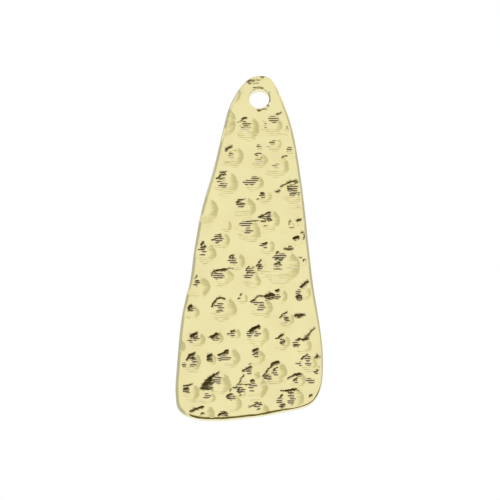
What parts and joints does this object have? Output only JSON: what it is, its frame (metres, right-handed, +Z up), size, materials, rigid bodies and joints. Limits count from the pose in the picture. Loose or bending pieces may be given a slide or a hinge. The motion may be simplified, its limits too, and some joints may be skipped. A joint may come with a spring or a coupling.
{
  "type": "triangle charm",
  "caption": "Long flat triangular metal charm with soft corners, a hammered front, a plain flat back and a small round hole through its pointed end to hang it by.",
  "frame": {"origin": "centre of the hanging hole, at the middle of the plate's thickness", "axes": "+Z up as the charm hangs, from the wide end to the pointed end; -Y out of the hammered front; +Y out of the plain back; +X to the right seen from the front"},
  "size_m": [0.0201, 0.002, 0.0483],
  "materials": {
    "pale_gold": "bright pale gold plating over a cast body, hammered and lightly brushed on the front, plain satin on the back"
  },
  "bodies": {
    "root": {"hammered_plate": "pale_gold"}
  },
  "joints": []
}
